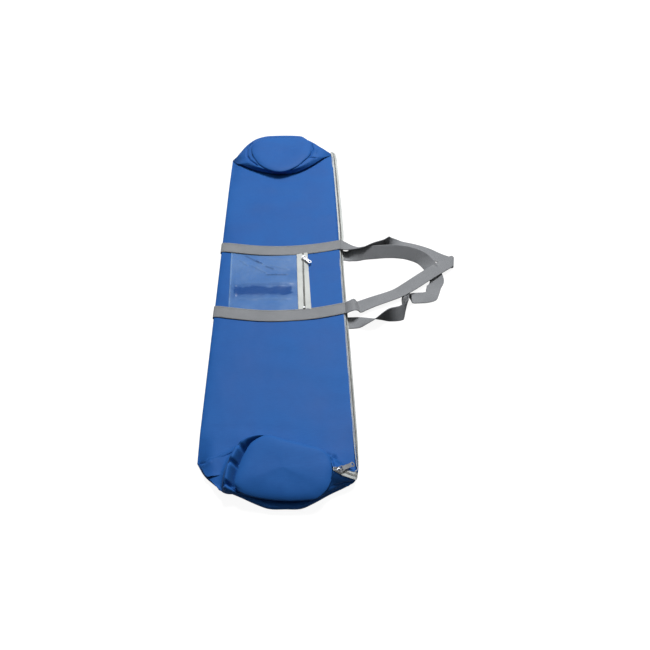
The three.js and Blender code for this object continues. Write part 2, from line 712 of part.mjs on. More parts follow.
add('pocket_window', pocketStrip(POCKET_LEFT, WINDOW_RIGHT, GAP, GAP + SHEET), 'clear');
add('pocket_hem', pocketStrip(POCKET_LEFT - 4.5, POCKET_LEFT - GAP, GAP, GAP + 1.4, 1), 'tape');
const zipLeft = POCKET_ZIP_X - POCKET_TAPE_HALF;
const zipRight = POCKET_ZIP_X + POCKET_TAPE_HALF;
const innerLeft = POCKET_ZIP_X - COIL_HALF - GAP;
const innerRight = POCKET_ZIP_X + COIL_HALF + GAP;
add('pocket_zip_tape_left', pocketStrip(zipLeft, innerLeft, GAP, GAP + TAPE), 'tape');
add('pocket_zip_tape_right', pocketStrip(innerRight, zipRight, GAP, GAP + TAPE), 'tape');
const coilTop = GAP + COIL_HEIGHT;
add('pocket_zip_coil_left', pocketStrip(innerLeft + GAP, POCKET_ZIP_X - GAP / 2, GAP, coilTop, 1), 'coil');
add('pocket_zip_coil_right', pocketStrip(POCKET_ZIP_X + GAP / 2, innerRight - GAP, GAP, coilTop, 1), 'coil');

const pocketZipTop = topHeight(POCKET_ZIP_X, 0) + GAP + COIL_HEIGHT / 2;
const pocketSpot = vec(POCKET_ZIP_X, 62, pocketZipTop);
const pocketSlider = frameAt(pocketSpot, vec(0, -1, 0), vec(0, 0, 1));
addSlider('pocket_zip', pocketSlider, 27, THREE.MathUtils.degToRad(40));
addStop('pocket_zip_top_stop_left', pocketSlider, -8.4, -1.6, 2.2);
addStop('pocket_zip_top_stop_right', pocketSlider, -8.4, 1.6, 2.2);
addStop('pocket_zip_bottom_stop', pocketSlider, 158, 0, 4);

export default group;
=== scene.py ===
import math

import bpy
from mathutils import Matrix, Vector, noise


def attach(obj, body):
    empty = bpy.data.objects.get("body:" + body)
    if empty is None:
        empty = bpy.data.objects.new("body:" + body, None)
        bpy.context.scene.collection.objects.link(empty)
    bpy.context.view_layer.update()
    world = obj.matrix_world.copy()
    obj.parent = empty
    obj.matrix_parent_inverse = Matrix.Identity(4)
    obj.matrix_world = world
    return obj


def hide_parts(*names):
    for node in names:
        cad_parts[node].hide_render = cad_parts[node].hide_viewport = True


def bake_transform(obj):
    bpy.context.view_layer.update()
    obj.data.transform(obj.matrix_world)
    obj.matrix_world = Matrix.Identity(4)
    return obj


# Looks of an empty carry bag that lies flat with both round ends folded over.
# Lengths are in millimetres in the frame's axes, and become metres when a mesh is made.

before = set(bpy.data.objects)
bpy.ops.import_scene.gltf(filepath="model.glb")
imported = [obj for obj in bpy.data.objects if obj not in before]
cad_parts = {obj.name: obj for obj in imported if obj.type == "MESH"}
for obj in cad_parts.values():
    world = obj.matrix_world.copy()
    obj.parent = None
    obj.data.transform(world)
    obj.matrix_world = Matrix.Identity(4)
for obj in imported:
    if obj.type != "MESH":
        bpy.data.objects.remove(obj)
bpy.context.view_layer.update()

MM = 0.001
TUBE_DIAMETER = 181
HALF_WIDTH = math.pi * TUBE_DIAMETER / 4
MID_HEIGHT = 8
COLUMNS = 300                       # round the girth of the bag
STRAP_WIDTH = 32
STRAP_THICKNESS = 1.5
HANDLE_LINE = HALF_WIDTH + 5
CLOTH = 0.9                         # thickness of the fabric and of the zip tapes
OUTER_FACE = -1                     # thickens a sheet inwards, so that its outer face stays put
FLAT_FROM, FLAT_TO = -400, 350      # the part of the bag between its folded ends, along y


# ---------------------------------------------------------------- small helpers

def clamp(value, low=0.0, high=1.0):
    return min(high, max(low, value))


def mix(a, b, share):
    return a + (b - a) * share


def smooth(value, low=0.0, high=1.0):
    t = clamp((value - low) / (high - low))
    return t * t * (3 - 2 * t)


def bump(value, centre, half):
    """1 at the centre, falling smoothly to 0 at half away."""
    return 1 - smooth(abs(value - centre), 0, half)


def colour(red, green, blue):
    """An sRGB colour from 0 to 255 as a linear RGBA."""
    def linear(c):
        c /= 255
        return c / 12.92 if c <= 0.04045 else ((c + 0.055) / 1.055) ** 2.4
    return (linear(red), linear(green), linear(blue), 1)


def spline(points, t, closed=False):
    """A point on a Catmull-Rom curve through tuples; t counts the spans."""
    count = len(points)
    i = int(math.floor(t)) if closed else min(int(t), count - 2)
    f = t - i

    def at(k):
        return points[k % count] if closed else points[min(max(k, 0), count - 1)]

    a, b, c, d = at(i - 1), at(i), at(i + 1), at(i + 2)
    return tuple(
        0.5 * (2 * q + (r - p) * f + (2 * p - 5 * q + 4 * r - s) * f * f
               + (3 * q - p - 3 * r + s) * f ** 3)
        for p, q, r, s in zip(a, b, c, d))


def profile(points, x):
    """A smooth curve through given (x, value) pairs, held beyond its ends."""
    x = clamp(x, points[0][0], points[-1][0])
    i = next(k for k in range(len(points) - 1) if x <= points[k + 1][0])
    last = len(points) - 1

    def slope(k):
        (xa, a), (xb, b) = points[max(k - 1, 0)], points[min(k + 1, last)]
        return (b - a) / (xb - xa)

    (x0, a), (x1, b) = points[i], points[i + 1]
    t = (x - x0) / (x1 - x0)
    bend = slope(i) * t * (1 - t) ** 2 - slope(i + 1) * t * t * (1 - t)
    return a * (1 + 2 * t) * (1 - t) ** 2 + b * t * t * (3 - 2 * t) + (x1 - x0) * bend


def beta(points, f):
    """A point on one span of a uniform B-spline with these four control points."""
    a, b, c, d = points
    return (a * (1 - f) ** 3 + b * (3 * f ** 3 - 6 * f * f + 4)
            + c * (-3 * f ** 3 + 3 * f * f + 3 * f + 1) + d * f ** 3) / 6


def finish_piece(name, points, faces, uvs, finish, body="bag", slot=None):
    """Makes a smooth-shaded object from points in mm. uvs holds one metric pair a point."""
    mesh = bpy.data.meshes.new(name)
    mesh.from_pydata([tuple(c * MM for c in p) for p in points], [], faces)
    layer = mesh.uv_layers.new(name="cloth")
    for loop in mesh.loops:
        u, v = uvs[loop.vertex_index]
        layer.data[loop.index].uv = (u * MM, v * MM)
    mesh.polygons.foreach_set("use_smooth", [True] * len(mesh.polygons))
    mesh.materials.append(finish)
    piece = bpy.data.objects.new(name, mesh)
    bpy.context.scene.collection.objects.link(piece)
    if body:
        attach(piece, body)
    return piece


def sheet_from_rows(name, rows, finish, closed=False, flip=False, plan_uv=False, **options):
    """A grid of points. Its UVs follow the cloth's own lengths, or x and y with plan_uv."""
    width = len(rows[0])
    points = [p for row in rows for p in row]
    faces = []
    across = width if closed else width - 1
    for j in range(len(rows) - 1):
        for i in range(across):
            a, b = j * width + i, j * width + (i + 1) % width
            face = (a, b, b + width, a + width)
            faces.append(face[::-1] if flip else face)
    if plan_uv:
        return finish_piece(name, points, faces, [(p[0], p[1]) for p in points], finish, **options)
    uvs = []
    along = 0.0
    middle = width // 2
    for j, row in enumerate(rows):
        if j:
            along += (Vector(row[middle]) - Vector(rows[j - 1][middle])).length
        girth = 0.0
        for i, p in enumerate(row):
            if i:
                girth += (Vector(p) - Vector(row[i - 1])).length
            uvs.append((girth, along))
    return finish_piece(name, points, faces, uvs, finish, **options)


def thicken(piece, thickness, offset=0.0):
    """Gives a sheet a thickness in mm, about its middle unless offset says otherwise."""
    solid = piece.modifiers.new("cloth thickness", "SOLIDIFY")
    solid.thickness = thickness * MM
    solid.offset = offset
    solid.use_even_offset = False


# ---------------------------------------------------------------- node materials

class Nodes:
    """A material's node tree, built by short calls."""

    def __init__(self, name, roughness, metallic=0.0, sheen=0.0, specular=0.5):
        self.material = bpy.data.materials.new(name)
        self.material.use_nodes = True
        self.tree = self.material.node_tree
        self.shader = self.tree.nodes["Principled BSDF"]
        sockets = self.shader.inputs
        sockets["Roughness"].default_value = roughness
        sockets["Metallic"].default_value = metallic
        sockets["Sheen Weight"].default_value = sheen
        sockets["Specular IOR Level"].default_value = specular

    def feed(self, sockets, values):
        """Links each value that is another node's output to its socket, and sets the others."""
        for key, value in values.items():
            if hasattr(value, "is_linked"):
                self.tree.links.new(value, sockets[key])
            elif value is not None:
                sockets[key].default_value = value

    def add(self, kind, inputs=None, **settings):
        node = self.tree.nodes.new("ShaderNode" + kind)
        for key, value in settings.items():
            setattr(node, key, value)
        self.feed(node.inputs, inputs or {})
        return node

    def cloth_uv(self, across=1.0, along=1.0):
        """The cloth's own coordinates in metres, scaled."""
        uv = self.add("UVMap", uv_map="cloth").outputs["UV"]
        return self.add("Mapping", {"Vector": uv, "Scale": (across, along, 1)}).outputs["Vector"]

    def place(self):
        return self.add("TexCoord").outputs["Object"]

    def noise(self, vector, scale, detail=3.0, roughness=0.55):
        inputs = {"Vector": vector, "Scale": scale, "Detail": detail, "Roughness": roughness}
        return self.add("TexNoise", inputs).outputs["Fac"]

    def wave(self, vector, period, direction, distortion=0.0):
        """Straight bands that repeat every period mm of a metric vector."""
        scale = math.tau / 20 / (period * MM)
        inputs = {"Vector": vector, "Scale": scale, "Distortion": distortion, "Detail": 1.0}
        return self.add("TexWave", inputs, wave_type="BANDS", bands_direction=direction).outputs["Fac"]

    def math(self, operation, a, b=0.0):
        return self.add("Math", {0: a, 1: b}, operation=operation).outputs[0]

    def span(self, value, low, high, to_low, to_high):
        inputs = {"Value": value, "From Min": low, "From Max": high, "To Min": to_low, "To Max": to_high}
        return self.add("MapRange", inputs, interpolation_type="SMOOTHSTEP").outputs[0]

    def blend(self, share, a, b):
        return self.add("Mix", {0: share, 6: a, 7: b}, data_type="RGBA").outputs[2]

    def relief(self, height, distance, strength=1.0, under=None):
        """Bump in mm; under is the normal of an earlier relief."""
        inputs = {"Height": height, "Distance": distance * MM, "Strength": strength, "Normal": under}
        return self.add("Bump", inputs).outputs["Normal"]

    def done(self, base, roughness=None, normal=None, alpha=None):
        values = {"Base Color": base, "Roughness": roughness, "Normal": normal, "Alpha": alpha}
        self.feed(self.shader.inputs, values)
        return self.material


def plain_weave(kit, pitch):
    """Over and under threads of a plain weave: two crossed waves, multiplied. pitch in mm."""
    uv = kit.cloth_uv()
    return kit.math("MULTIPLY", kit.wave(uv, pitch, "X", 0.4), kit.wave(uv, pitch, "Y", 0.4))


def bag_fabric_material():
    """Coated woven polyester, royal blue, with a soft sheen, and a painted highlight on its sharp folds and
    crests.
    """
    kit = Nodes("bag_fabric", roughness=0.62, sheen=0.05, specular=0.16)
    kit.shader.inputs["Sheen Roughness"].default_value = 0.45
    kit.shader.inputs["Sheen Tint"].default_value = (0.5, 0.7, 1, 1)
    weave = plain_weave(kit, 0.9)
    place = kit.place()
    patches = kit.noise(place, 9, 4)
    slub = kit.noise(kit.cloth_uv(60, 900), 1, 2)
    tone = kit.blend(kit.span(patches, 0.3, 0.7, 0, 1), colour(28, 86, 156), colour(33, 94, 165))
    tone = kit.blend(kit.span(slub, 0.35, 0.75, 0, 0.35), tone, colour(25, 76, 145))
    tone = kit.blend(kit.span(weave, 0.1, 0.7, 0.22, 0), tone, colour(13, 42, 98))
    # Painted highlight: the colour turns lighter where the cloth is most convex, on sharp folds and crests.
    crest_highlight = kit.add("NewGeometry").outputs["Pointiness"]
    tone = kit.blend(kit.span(crest_highlight, 0.53, 0.62, 0, 0.25), tone, colour(74, 128, 194))
    rough = kit.span(patches, 0.2, 0.8, 0.55, 0.68)
    cockle = kit.relief(kit.noise(place, 26, 3), 1.1, 0.5)
    return kit.done(tone, rough, kit.relief(weave, 0.12, 0.5, cockle))


def webbing_material():
    """Grey ribbed webbing: cross ribs and a herringbone of fine yarns."""
    kit = Nodes("webbing", roughness=0.72, sheen=0.1, specular=0.3)
    uv = kit.cloth_uv()
    ribs = kit.wave(uv, 2.1, "Y", 0.3)
    yarns = kit.wave(uv, 1.3, "X", 1.2)
    both = kit.math("MULTIPLY", kit.math("ADD", ribs, 0.35), yarns)
    place = kit.place()
    fade = kit.noise(place, 18, 3)
    fleck = kit.noise(kit.cloth_uv(1400, 500), 1, 2)
    dark = colour(120, 123, 127)
    pale = colour(152, 154, 157)
    tone = kit.blend(kit.span(fade, 0.3, 0.7, 0.35, 0.75), dark, pale)
    tone = kit.blend(kit.span(fleck, 0.4, 0.7, 0, 0.6), tone, dark)
    tone = kit.blend(kit.span(both, 0.0, 0.6, 0.5, 0), tone, colour(72, 74, 78))
    rough = kit.span(fade, 0.2, 0.8, 0.66, 0.8)
    return kit.done(tone, rough, kit.relief(both, 0.3, 0.7))


def zip_tape_material():
    """Pale grey knitted tape with a fine rib along its length."""
    kit = Nodes("zip_tape", roughness=0.75, sheen=0.08, specular=0.3)
    uv = kit.cloth_uv()
    rib = kit.wave(uv, 1.4, "X", 0.8)
    weft = kit.wave(uv, 1.1, "Y", 0.6)
    knit = kit.math("MULTIPLY", rib, weft)
    grime = kit.noise(kit.place(), 24, 4)
    tone = kit.blend(kit.span(grime, 0.3, 0.7, 0, 1), colour(184, 188, 186), colour(206, 209, 206))
    tone = kit.blend(kit.span(knit, 0.05, 0.6, 0.35, 0), tone, colour(146, 150, 150))
    return kit.done(tone, kit.span(grime, 0.2, 0.8, 0.7, 0.82), kit.relief(knit, 0.2, 0.6))


def zip_coil_material():
    """Nylon coil, a little glossier and greyer than its tape."""
    kit = Nodes("zip_coil", roughness=0.42, specular=0.45)
    grime = kit.noise(kit.place(), 60, 3)
    tone = kit.blend(kit.span(grime, 0.3, 0.7, 0, 1), colour(140, 141, 138), colour(170, 171, 167))
    scuffs = kit.relief(kit.noise(kit.place(), 900, 2), 0.05, 0.4)
    return kit.done(tone, kit.span(grime, 0.2, 0.8, 0.36, 0.5), scuffs)


def metal_material():
    """Bright nickel-plated die casting with fine scratches."""
    kit = Nodes("zip_metal", roughness=0.25, metallic=1.0)
    place = kit.place()
    stretched = kit.add("Mapping", {"Vector": place, "Scale": (1, 6, 3), "Rotation": (0, 0, 0.5)})
    scratches = kit.noise(stretched.outputs["Vector"], 700, 4, 0.7)
    cloud = kit.noise(place, 120, 3)
    tone = kit.blend(kit.span(cloud, 0.3, 0.7, 0, 1), colour(152, 154, 158), colour(182, 184, 187))
    tone = kit.blend(kit.span(scratches, 0.55, 0.75, 0, 0.3), tone, colour(138, 140, 144))
    return kit.done(tone, kit.span(scratches, 0.3, 0.75, 0.27, 0.48), kit.relief(scratches, 0.03, 0.35))


def window_material():
    """Clear flexible vinyl: a thin bluish haze, and a darker strip where it clings to the cloth."""
    kit = Nodes("clear_window", roughness=0.22, specular=0.3)
    place = kit.place()
    split = kit.add("SeparateXYZ", {0: place})
    ragged = kit.math("MULTIPLY", kit.math("SUBTRACT", kit.noise(place, 55, 4), 0.5), 0.022)
    along = kit.math("ADD", split.outputs["Y"], ragged)
    across = kit.math("ADD", split.outputs["X"], kit.math("MULTIPLY", ragged, 1.6))

    def strip(bottom, top, left, right, fade):
        """1 inside a ragged rectangle, fading over its edges."""
        tall = kit.math("MULTIPLY", kit.span(along, bottom - fade, bottom, 0, 1),
                        kit.span(along, top, top + fade, 1, 0))
        wide = kit.math("MULTIPLY", kit.span(across, left - fade, left, 0, 1),
                        kit.span(across, right, right + fade, 1, 0))
        return kit.math("MULTIPLY", tall, wide)

    core = strip(-0.049, -0.030, -0.102, 0.022, 0.007)
    halo = strip(-0.057, -0.021, -0.110, 0.036, 0.010)
    inside = kit.math("ADD", kit.math("MULTIPLY", core, 0.6), kit.math("MULTIPLY", halo, 0.4))
    fold = kit.add("Attribute", attribute_name="fold").outputs["Fac"]
    cloud = kit.noise(place, 16, 3)
    tone = kit.blend(kit.span(cloud, 0.3, 0.7, 0, 1), colour(156, 200, 240), colour(178, 214, 246))
    tone = kit.blend(inside, tone, colour(22, 60, 124))
    tone = kit.blend(fold, tone, colour(16, 44, 96))
    haze = kit.span(cloud, 0.3, 0.7, 0.13, 0.19)
    haze = kit.math("ADD", haze, kit.math("MULTIPLY", inside, 0.12))
    haze = kit.math("ADD", haze, kit.math("MULTIPLY", fold, 0.4))
    rough = kit.span(cloud, 0.2, 0.8, 0.2, 0.3)
    return kit.done(tone, rough, kit.relief(kit.noise(place, 40, 2), 0.4, 0.4), haze)


def thread_material():
    """Sewing thread: two plies wound round each other."""
    kit = Nodes("grey_thread", roughness=0.6, specular=0.3)
    plies = kit.wave(kit.place(), 1.2, "DIAGONAL", 0.5)
    tone = kit.blend(plies, colour(129, 130.5, 132), colour(172, 174, 176))
    return kit.done(tone, kit.span(plies, 0, 1, 0.5, 0.7), kit.relief(plies, 0.08, 0.5))


def binding_material():
    """Dark blue woven binding tape inside the seams."""
    kit = Nodes("seam_binding", roughness=0.7, sheen=0.08, specular=0.3)
    place = kit.place()
    rib = kit.wave(place, 1.2, "X", 0.6)
    tone = kit.blend(rib, colour(18, 46, 110), colour(34, 74, 150))
    return kit.done(tone, kit.span(rib, 0, 1, 0.62, 0.78), kit.relief(rib, 0.15, 0.6))


def floor_material():
    """A lit white studio floor."""
    kit = Nodes("pale_floor", roughness=0.9, specular=0.1)
    shade = kit.noise(kit.place(), 3, 2)
    tone = kit.blend(shade, (0.16, 0.16, 0.16, 1), (0.18, 0.18, 0.18, 1))
    kit.shader.inputs["Emission Color"].default_value = (1, 1, 1, 1)
    kit.shader.inputs["Emission Strength"].default_value = 0.92
    return kit.done(tone)


fabric = bag_fabric_material()
webbing = webbing_material()
zip_tape = zip_tape_material()
zip_coil = zip_coil_material()
metal = metal_material()
vinyl = window_material()
grey_thread = thread_material()
binding = binding_material()


# ---------------------------------------------------------------- the flat part of the bag

def fullness(x):
    """Share of the full thickness at x: 1 over most of the width, less at the edges."""
    u = clamp(abs(x) / HALF_WIDTH)
    edge = 0.3 if x < 0 else 0.9
    return edge + (1 - edge) * math.sqrt(1 - u ** 8)


def flat_top(x):
    return MID_HEIGHT + MID_HEIGHT * fullness(x) - 0.4


def flat_bottom(x):
    return MID_HEIGHT - (MID_HEIGHT - 0.9) * fullness(x)


# The zip tape lies nearly flat along the far part and stands steeper towards the near end:
# y, centre x, centre z and the tilt of its width from the floor in degrees.
ZIP_LINE = [
    (512, 143.0, 9.5, 30),
    (470, 145.4, 8.6, 14),
    (330, 146.6, 8.0, 9),
    (170, 146.6, 8.0, 9),
    (118, 144.4, 8.6, 40),
    (30, 142.8, 9.0, 52),
    (-90, 142.8, 9.0, 54),
    (-250, 142.8, 9.0, 52),
    (-400, 142.8, 9.0, 56),
    (-466, 142.4, 8.8, 72),
]
ZIP_HALF = 7.4
ZIP_CORNER = [
    (141.9, -479.5, 10.0, 0.0, 0.25, 0.95),
    (139.2, -488.5, 14.2, -0.1, 0.65, 0.75),
    (133.5, -493.2, 21.8, 0.0, 1.0, 0.1),
    (116.0, -493.1, 34.6, 0.0, 1.0, -0.01),
    (98.0, -493.0, 47.6, 0.0, 1.0, -0.01),
]
ZIP_STEPS = 8
ZIP_END_SHARE = 0.42                # the tapes draw together under the slider


def zip_stations():
    """Centre and width direction, from the far end to the slider's end of the main zip."""
    stations = []
    for y, x, z, tilt in ZIP_LINE:
        angle = math.radians(tilt)
        stations.append((x, y, z, -math.cos(angle), 0.0, math.sin(angle)))
    stations += ZIP_CORNER
    result = []
    for k in range((len(stations) - 1) * ZIP_STEPS + 1):
        px, py, pz, wx, wy, wz = spline(stations, k / ZIP_STEPS)
        result.append((Vector((px, py, pz)), Vector((wx, wy, wz))))
    framed = []
    last = len(result) - 1
    for k, (p, w) in enumerate(result):
        t = (result[min(k + 1, last)][0] - result[max(k - 1, 0)][0]).normalized()
        w = (w - t * w.dot(t)).normalized()
        n = w.cross(t)
        width = mix(1, ZIP_END_SHARE, smooth(k, last - ZIP_STEPS, last))
        framed.append((p, w * width, n))
    return framed


main_zip = zip_stations()


def zip_at_y(y):
    """The station of the straight part of the zip nearest to y."""
    straight = main_zip[:(len(ZIP_LINE) - 1) * ZIP_STEPS + 1]
    return min(straight, key=lambda s: abs(s[0].y - y))


# ---------------------------------------------------------------- the folded ends

class End:
    """One folded end: which way it lies along y, its disc's rim and the seam inside the rim.
    Angle 0 is at the zip, 90 degrees towards the middle of the bag, 180 at the left fold.
    seam_drop is how far the seam lies inside and below the rim: first round the upper half,
    then at the tip of the bag."""

    def __init__(self, sign, rim, seam_drop):
        self.sign = sign
        self.rim = rim
        self.seam_drop = seam_drop

    def rim_at(self, angle):
        turn = angle / math.tau * len(self.rim)
        return Vector(spline(self.rim, turn % len(self.rim), closed=True))

    def outward(self, angle):
        return Vector((math.cos(angle), -self.sign * math.sin(angle), 0))

    def seam_at(self, angle):
        under = max(0.0, -math.sin(angle))
        upper_inward, upper_drop, tip_inward, tip_drop = self.seam_drop
        inward = mix(upper_inward, tip_inward, under)
        drop = mix(upper_drop, tip_drop, under)
        return self.rim_at(angle) - self.outward(angle) * inward - Vector((0, 0, drop))


# Sixteen points round each rim, from the zip side towards the middle of the bag.
near_end = End(-1, [
    (96, -492, 39), (91, -466, 42), (75, -452, 44), (42, -442, 45),
    (8, -431, 46), (-19, -424, 45.5), (-42, -436, 43.5), (-56, -460, 41),
    (-65, -486, 38), (-69, -509, 34), (-57, -523, 30), (-30, -531, 27),
    (8, -537, 26), (44, -538, 26), (70, -535, 28), (89, -518, 34)],
    (1.5, 3.0, 9.0, 13.0))

far_end = End(1, [
    (79, 492, 36), (73, 458, 36), (57, 433, 35.5), (35, 406, 35),
    (0, 388, 34), (-32, 395, 34.5), (-58, 416, 35), (-77, 451, 36),
    (-86, 484, 36), (-85, 515, 36), (-72, 538, 35), (-42, 550, 34),
    (0, 552, 34), (40, 550, 34), (66, 541, 35), (79, 515, 35)],
    (1.0, 2.5, 1.0, 2.5))

# Outlines on the floor and edges of the two flaps, as (x, y) across the bag.
EDGE = HALF_WIDTH
FAR_OUTLINE = [(-EDGE, 484), (-128, 500), (-112, 518), (-94, 537), (-78, 553), (-60, 564),
               (-40, 569), (45, 569), (64, 563), (80, 552), (100, 539), (120, 525), (EDGE, 508)]
NEAR_OUTLINE = [(-EDGE, -454), (-128, -477), (-113, -492), (-97, -504), (-62, -521), (-34, -535),
                (-12, -543.5), (16, -545), (42, -545), (62, -537), (92, -521), (119, -508), (EDGE, -494)]
FAR_FLAP = [(-EDGE, 483), (-121, 452), (-92, 428), (-60, 410), (-28, 400), (0, 397),
            (30, 402), (62, 420), (94, 449), (128, 489), (EDGE, 507)]
NEAR_FLAP = [(-EDGE, -453), (-119, -450), (-96, -448), (-74, -438), (-50, -426), (-23, -419),
             (14, -428), (44, -437), (74, -446), (92, -455), (108, -466), (EDGE, -493)]

# Height of the wall behind each outline, as (x, height).
FAR_WALL = [(-EDGE, 4), (-128, 12), (-112, 23), (-94, 30), (-70, 32), (55, 31), (68, 26),
            (80, 21), (100, 13), (122, 7), (EDGE, 7)]
NEAR_WALL = [(-EDGE, 3), (-122, 6), (-97, 9), (-62, 13), (-20, 15), (60, 15), (96, 14), (125, 10),
             (EDGE, 8)]


# Each ring of control points runs over the upper layer from the zip to the left fold and
# back under the lower layer to the zip. An angle round this girth gives a point's place.
angles = [math.tau * k / COLUMNS for k in range(COLUMNS + 1)]
ZIP_REACH = 0.42                    # how far round the girth the zip edge pulls the cloth, in radians
OVERLAP = 1.8                       # cloth folded over the edge of the tape
TAPE_FACE = 0.6                     # from the middle of the tape to the cloth on it


def with_ends_at(ring, first, last, power):
    """Moves a ring's two ends, and eases their neighbours after them."""
    for index, target in ((0, first), (-1, last)):
        shift = target - ring[index]
        for k, angle in enumerate(angles):
            near = angle if index == 0 else math.tau - angle
            if near < ZIP_REACH:
                ring[k] = ring[k] + shift * (1 - smooth(near, 0, ZIP_REACH)) ** power
    return ring


def pulled_to_zip(ring, station):
    """Brings a ring's two ends onto the edges of the zip tape."""
    p, w, n = station
    reach = w * (ZIP_HALF - OVERLAP) + n * TAPE_FACE
    return with_ends_at(ring, p + reach, p - reach, 1.5)


def closed_at_zip(ring):
    """Joins a ring's two ends where the zip has stopped."""
    middle = (ring[0] + ring[-1]) / 2
    return with_ends_at(ring, middle, middle, 1)


def flat_ring(y):
    ring = []
    for angle in angles:
        x = HALF_WIDTH * math.cos(angle)
        upper = math.sin(angle) >= 0
        ring.append(Vector((x, y, flat_top(x) if upper else flat_bottom(x))))
    return pulled_to_zip(ring, zip_at_y(y))


# How far each flap's rolled edge stands up, as (x, share).
FAR_LIFT = [(-EDGE, 1), (EDGE, 1)]
NEAR_LIFT = [(-EDGE, 0.5), (-122, 0.12), (-92, 0.1), (-62, 0.9), (EDGE, 1)]

CORNER_REACH = 34                   # how far from each corner the folded layers thin out


def end_rings(end, zone, flap, outline, wall, lift, corner_height, skirt, zip_for):
    """Control rings from the flat part at zone out to the seam of the disc.
    skirt holds a function for each ring between the flap's edge and the seam."""
    sign = end.sign
    # for the upper layer: distance past the flap's edge and rise; for the lower: share of the
    # way to the outline, distance short of it and share of the wall's height
    upper_path = [(18, 0.0), (34, 0.8), (36, 2.6), (14, 2.6), (0, 2.4), (-3.5, 5.5), (-1.5, 8)]
    lower_path = [(0.5, 0, 0.06), (1, 14, 0.06), (1, 6, 0.1), (1, 1.5, 0.25), (1, 0, 0.5), (1, 0, 0.8),
                  (1, 2.5, 1)]
    rings = []
    for number, (over, under) in enumerate(zip(upper_path, lower_path)):
        ring = []
        for angle in angles:
            x = HALF_WIDTH * math.cos(angle)
            inside = smooth(HALF_WIDTH - abs(x), 0, CORNER_REACH)
            fold = smooth(HALF_WIDTH - abs(x), 0, CORNER_REACH * 0.7)
            corner = mix(corner_height[x > 0], MID_HEIGHT, inside)
            if math.sin(angle) >= 0:
                y = profile(flap, x) + sign * over[0] * fold * (profile(lift, x) if over[0] < 0 else 1)
                z = mix(corner + 0.25 * number, flat_top(x) + over[1] * profile(lift, x), inside)
            else:
                start, inset, height = under
                y = mix(zone, profile(outline, x) - sign * inset * fold, start)
                z = mix(min(corner, 1 + 0.3 * number), max(profile(wall, x) * height, 0.8),
                        smooth(HALF_WIDTH - abs(x), 0, CORNER_REACH * 0.4))
            ring.append(Vector((x, y, z)))
        rings.append(zip_for(ring, number))
    edge = rings[-1]
    for number, shape in enumerate(skirt):
        ring = [shape(angle, edge[k]) for k, angle in enumerate(angles)]
        rings.append(zip_for(ring, len(upper_path) + number))
    return rings


# The first rings of each end meet the straight part of the zip at these y.
FAR_ZIP_STARTS = [470, 500]
NEAR_ZIP_STARTS = [-452, -464]
CLIMB_RINGS = 14                    # rings over which the near end follows the zip to its slider


def far_zip(ring, number):
    if number < len(FAR_ZIP_STARTS):
        return pulled_to_zip(ring, zip_at_y(FAR_ZIP_STARTS[number]))
    return closed_at_zip(ring)


def near_zip(ring, number):
    if number < len(NEAR_ZIP_STARTS):
        return pulled_to_zip(ring, zip_at_y(NEAR_ZIP_STARTS[number]))
    corner_start = (len(ZIP_LINE) - 1) * ZIP_STEPS
    last = len(main_zip) - 1
    share = clamp((number - 1) / CLIMB_RINGS)
    return pulled_to_zip(ring, main_zip[round(mix(corner_start, last, share))])


def far_skirt(share, lift):
    """A ring between the flap's edge and the seam, rounded upwards and outwards by lift."""
    def shape(angle, edge):
        seam = far_end.seam_at(angle)
        p = edge.lerp(seam + far_end.outward(angle) * 1.5, share)
        p.z = mix(edge.z, seam.z, share ** 0.55) + lift * math.sin(math.pi * share)
        return p
    return shape


def ridge_share(angle):
    """1 where loose cloth stands in a ridge left of the near disc."""
    turn = math.degrees(angle)
    return smooth(turn, 104, 150) * (1 - smooth(turn, 198, 226))


# Notches where the gathered ridge is pulled down to the seam: angle, half width, depth in mm.
NOTCHES = [(147, 5, 6), (168, 5, 9), (196, 5, 9), (215, 8, 5)]


def notch(angle):
    return sum(depth * bump(math.degrees(angle), at, half) for at, half, depth in NOTCHES)


RIDGE_FOOT = 29                     # how far outside the seam the ridge starts
RIDGE_BASE = 16.5                   # height of the cloth there
RIDGE_LEVEL = 34                    # height of the seam for which the ridge's heights are given


def near_skirt(share, lift):
    """From the flap's edge to the foot of the ridge."""
    def shape(angle, edge):
        seam = near_end.seam_at(angle)
        ridge = ridge_share(angle)
        foot = seam + near_end.outward(angle) * mix(3.6, RIDGE_FOOT, ridge)
        foot.z = mix(seam.z - 2, RIDGE_BASE, ridge)
        p = edge.lerp(foot, share)
        p.z = mix(edge.z, foot.z, share ** 0.8) + lift * math.sin(math.pi * share) * (1 - ridge)
        return p
    return shape


def near_ridge(plain, out, height, notched):
    """Round the disc at plain mm from the seam, and where the ridge stands at out and height."""
    def shape(angle, edge):
        ridge = ridge_share(angle)
        seam = near_end.seam_at(angle)
        p = seam + near_end.outward(angle) * mix(plain, out, ridge)
        plain_z = seam.z - plain * 0.5
        ridge_z = height + (seam.z - RIDGE_LEVEL) * 0.5 - notch(angle) * notched
        p.z = mix(plain_z, ridge_z, ridge)
        return p
    return shape


def seam_of(end):
    """The last ring, on the seam itself."""
    return lambda angle, edge: end.seam_at(angle)


